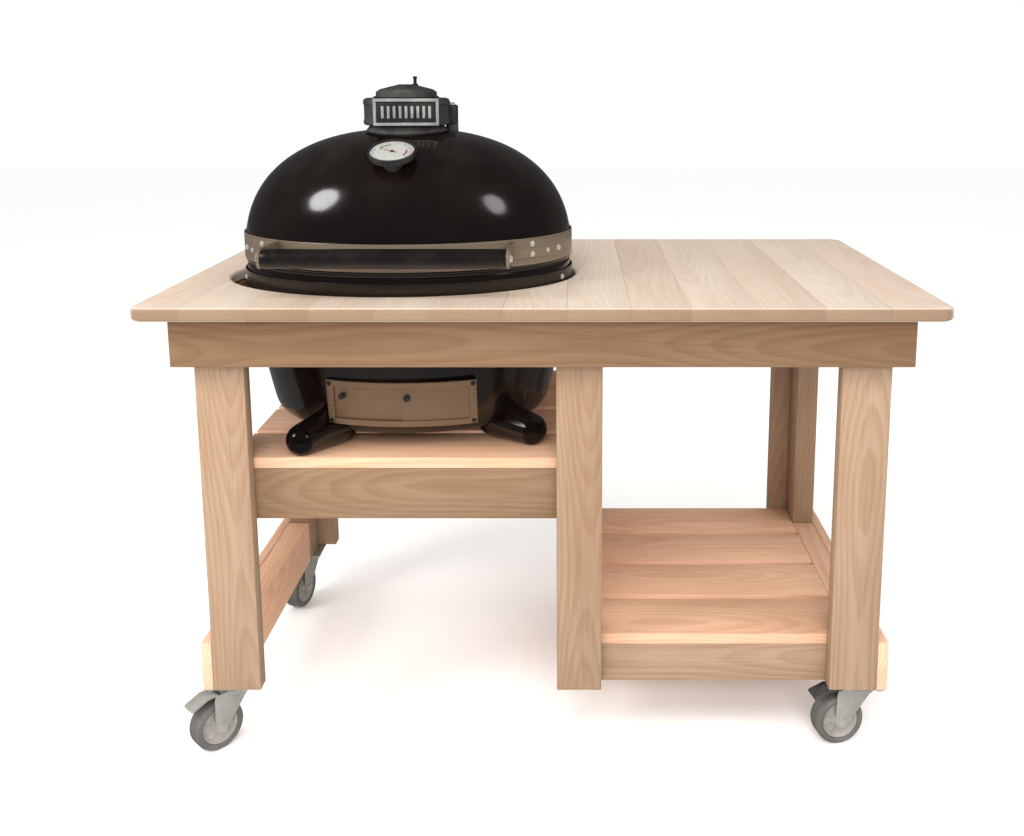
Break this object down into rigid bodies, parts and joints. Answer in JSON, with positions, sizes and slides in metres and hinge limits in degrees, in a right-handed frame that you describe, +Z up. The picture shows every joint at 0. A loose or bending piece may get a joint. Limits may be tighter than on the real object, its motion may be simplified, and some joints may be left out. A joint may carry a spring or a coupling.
{
  "type": "kamado ceramic grill in a wheeled wooden table",
  "caption": "Oval black glazed ceramic kamado grill with hinged lid, set into a wheeled slatted wooden table with side counter and storage shelf.",
  "frame": {"origin": "on the floor under the middle of the table's plan", "axes": "+X to the right along the table as its user faces it, +Y to the back where the lid hinge is, +Z up"},
  "size_m": [1.47, 0.832, 1.3203],
  "materials": {
    "cypress": "sanded, unfinished",
    "glazed_shell": "high gloss black glaze",
    "fire_clay": "matt refractory",
    "cast_iron": "sand cast, painted black",
    "stainless": "brushed",
    "zinc": "zinc plated",
    "tyre": "matt grey rubber",
    "felt": "pressed felt",
    "grip": "satin black phenolic",
    "dial_face": "off-white dial",
    "needle": "red paint"
  },
  "bodies": {
    "frame": {"table_top": "cypress", "apron_front": "cypress", "apron_back": "cypress", "apron_left": "cypress", "apron_right": "cypress", "leg_front_left": "cypress", "leg_front_right": "cypress", "leg_back_left": "cypress", "leg_back_right": "cypress", "leg_front_middle": "cypress", "leg_back_middle": "cypress", "side_rail_left": "cypress", "side_rail_right": "cypress", "lower_shelf_front_rail": "cypress", "lower_shelf_back_rail": "cypress", "lower_shelf_slats": "cypress", "grill_shelf_front_rail": "cypress", "grill_shelf_back_rail": "cypress", "grill_shelf_slats": "cypress", "lower_bowl": "glazed_shell", "firebox": "fire_clay", "fire_grate": "cast_iron", "cooking_grate_left": "cast_iron", "cooking_grate_right": "cast_iron", "base_band": "stainless", "gasket": "felt", "hinge_lower": "stainless", "hinge_pin": "zinc", "draft_frame": "stainless", "foot_front_left": "glazed_shell", "foot_front_right": "glazed_shell", "foot_rear": "glazed_shell", "caster_plate_front_left": "zinc", "caster_plate_front_right": "zinc", "caster_plate_back_left": "zinc", "caster_plate_back_right": "zinc"},
    "lid": {"dome": "glazed_shell", "lid_band": "stainless", "thermometer_case": "dial_face", "chimney_collar": "cast_iron", "handle_bar": "grip", "handle_bracket_left": "stainless", "handle_bracket_right": "stainless", "hinge_upper": "stainless"},
    "cap": {"chimney_cap": "cast_iron"},
    "damper": {"damper_disc": "cast_iron"},
    "needle": {"dial_needle": "needle"},
    "door_left": {"draft_door_left": "stainless"},
    "door_right": {"draft_door_right": "stainless"},
    "pedal_front_left": {"brake_pedal_front_left": "zinc"},
    "pedal_front_right": {"brake_pedal_front_right": "zinc"},
    "swivel_front_left": {"caster_fork_front_left": "zinc"},
    "swivel_front_right": {"caster_fork_front_right": "zinc"},
    "swivel_back_left": {"caster_fork_back_left": "zinc"},
    "swivel_back_right": {"caster_fork_back_right": "zinc"},
    "wheel_front_left": {"wheel_front_left": "tyre"},
    "wheel_front_right": {"wheel_front_right": "tyre"},
    "wheel_back_left": {"wheel_back_left": "tyre"},
    "wheel_back_right": {"wheel_back_right": "tyre"}
  },
  "joints": [
    {"name": "cap_swing", "type": "hinge", "parent": "lid", "child": "cap", "pos_m": [-0.196, -0.036, 1.23], "axis": [0, 0, -1], "range_deg": [0, 100]},
    {"name": "damper_disc_turn", "type": "hinge", "parent": "cap", "child": "damper", "pos_m": [-0.286, -0.056, 1.284], "axis": [0, 0, 1], "range_deg": [-26, 19]},
    {"name": "dial_needle_turn", "type": "hinge", "parent": "lid", "child": "needle", "pos_m": [-0.286, -0.24343, 1.17911], "axis": [0, 0.4067, -0.9135], "range_deg": [0, 240], "stiffness_Nm_per_rad": 0.002},
    {"name": "dome_hinge", "type": "hinge", "parent": "frame", "child": "lid", "pos_m": [-0.286, 0.216, 0.95], "axis": [-1, 0, 0], "range_deg": [0, 72]},
    {"name": "draft_door_left_slide", "type": "hinge", "parent": "frame", "child": "door_left", "pos_m": [-0.278, 0.136, 0.694], "axis": [0, 0, 1], "range_deg": [0, 14.5]},
    {"name": "draft_door_right_slide", "type": "hinge", "parent": "frame", "child": "door_right", "pos_m": [-0.278, 0.136, 0.694], "axis": [0, 0, 1], "range_deg": [-14.5, 0]},
    {"name": "front_left_brake", "type": "hinge", "parent": "swivel_front_left", "child": "pedal_front_left", "pos_m": [-0.65795, -0.32009, 0.1154], "axis": [0.7193, -0.6947, 0], "range_deg": [0, 12]},
    {"name": "front_right_brake", "type": "hinge", "parent": "swivel_front_right", "child": "pedal_front_right", "pos_m": [0.581, -0.29656, 0.1154], "axis": [0.2079, -0.9781, 0], "range_deg": [0, 12]},
    {"name": "swivel_front_left", "type": "hinge", "parent": "frame", "child": "swivel_front_left", "pos_m": [-0.626, -0.287, 0.11], "axis": [0, 0, 1], "continuous": true},
    {"name": "swivel_front_right", "type": "hinge", "parent": "frame", "child": "swivel_front_right", "pos_m": [0.626, -0.287, 0.11], "axis": [0, 0, 1], "continuous": true},
    {"name": "swivel_back_left", "type": "hinge", "parent": "frame", "child": "swivel_back_left", "pos_m": [-0.626, 0.287, 0.11], "axis": [0, 0, 1], "continuous": true},
    {"name": "swivel_back_right", "type": "hinge", "parent": "frame", "child": "swivel_back_right", "pos_m": [0.626, 0.287, 0.11], "axis": [0, 0, 1], "continuous": true},
    {"name": "wheel_front_left_roll", "type": "hinge", "parent": "swivel_front_left", "child": "wheel_front_left", "pos_m": [-0.65518, -0.31721, 0.05], "axis": [-0.7193, 0.6947, 0], "continuous": true},
    {"name": "wheel_front_right_roll", "type": "hinge", "parent": "swivel_front_right", "child": "wheel_front_right", "pos_m": [0.58492, -0.29573, 0.05], "axis": [-0.2079, 0.9781, 0], "continuous": true},
    {"name": "wheel_back_left_roll", "type": "hinge", "parent": "swivel_back_left", "child": "wheel_back_left", "pos_m": [-0.63687, 0.24643, 0.05], "axis": [-0.9659, 0.2588, 0], "continuous": true},
    {"name": "wheel_back_right_roll", "type": "hinge", "parent": "swivel_back_right", "child": "wheel_back_right", "pos_m": [0.58653, 0.27264, 0.05], "axis": [-0.342, 0.9397, 0], "continuous": true}
  ]
}
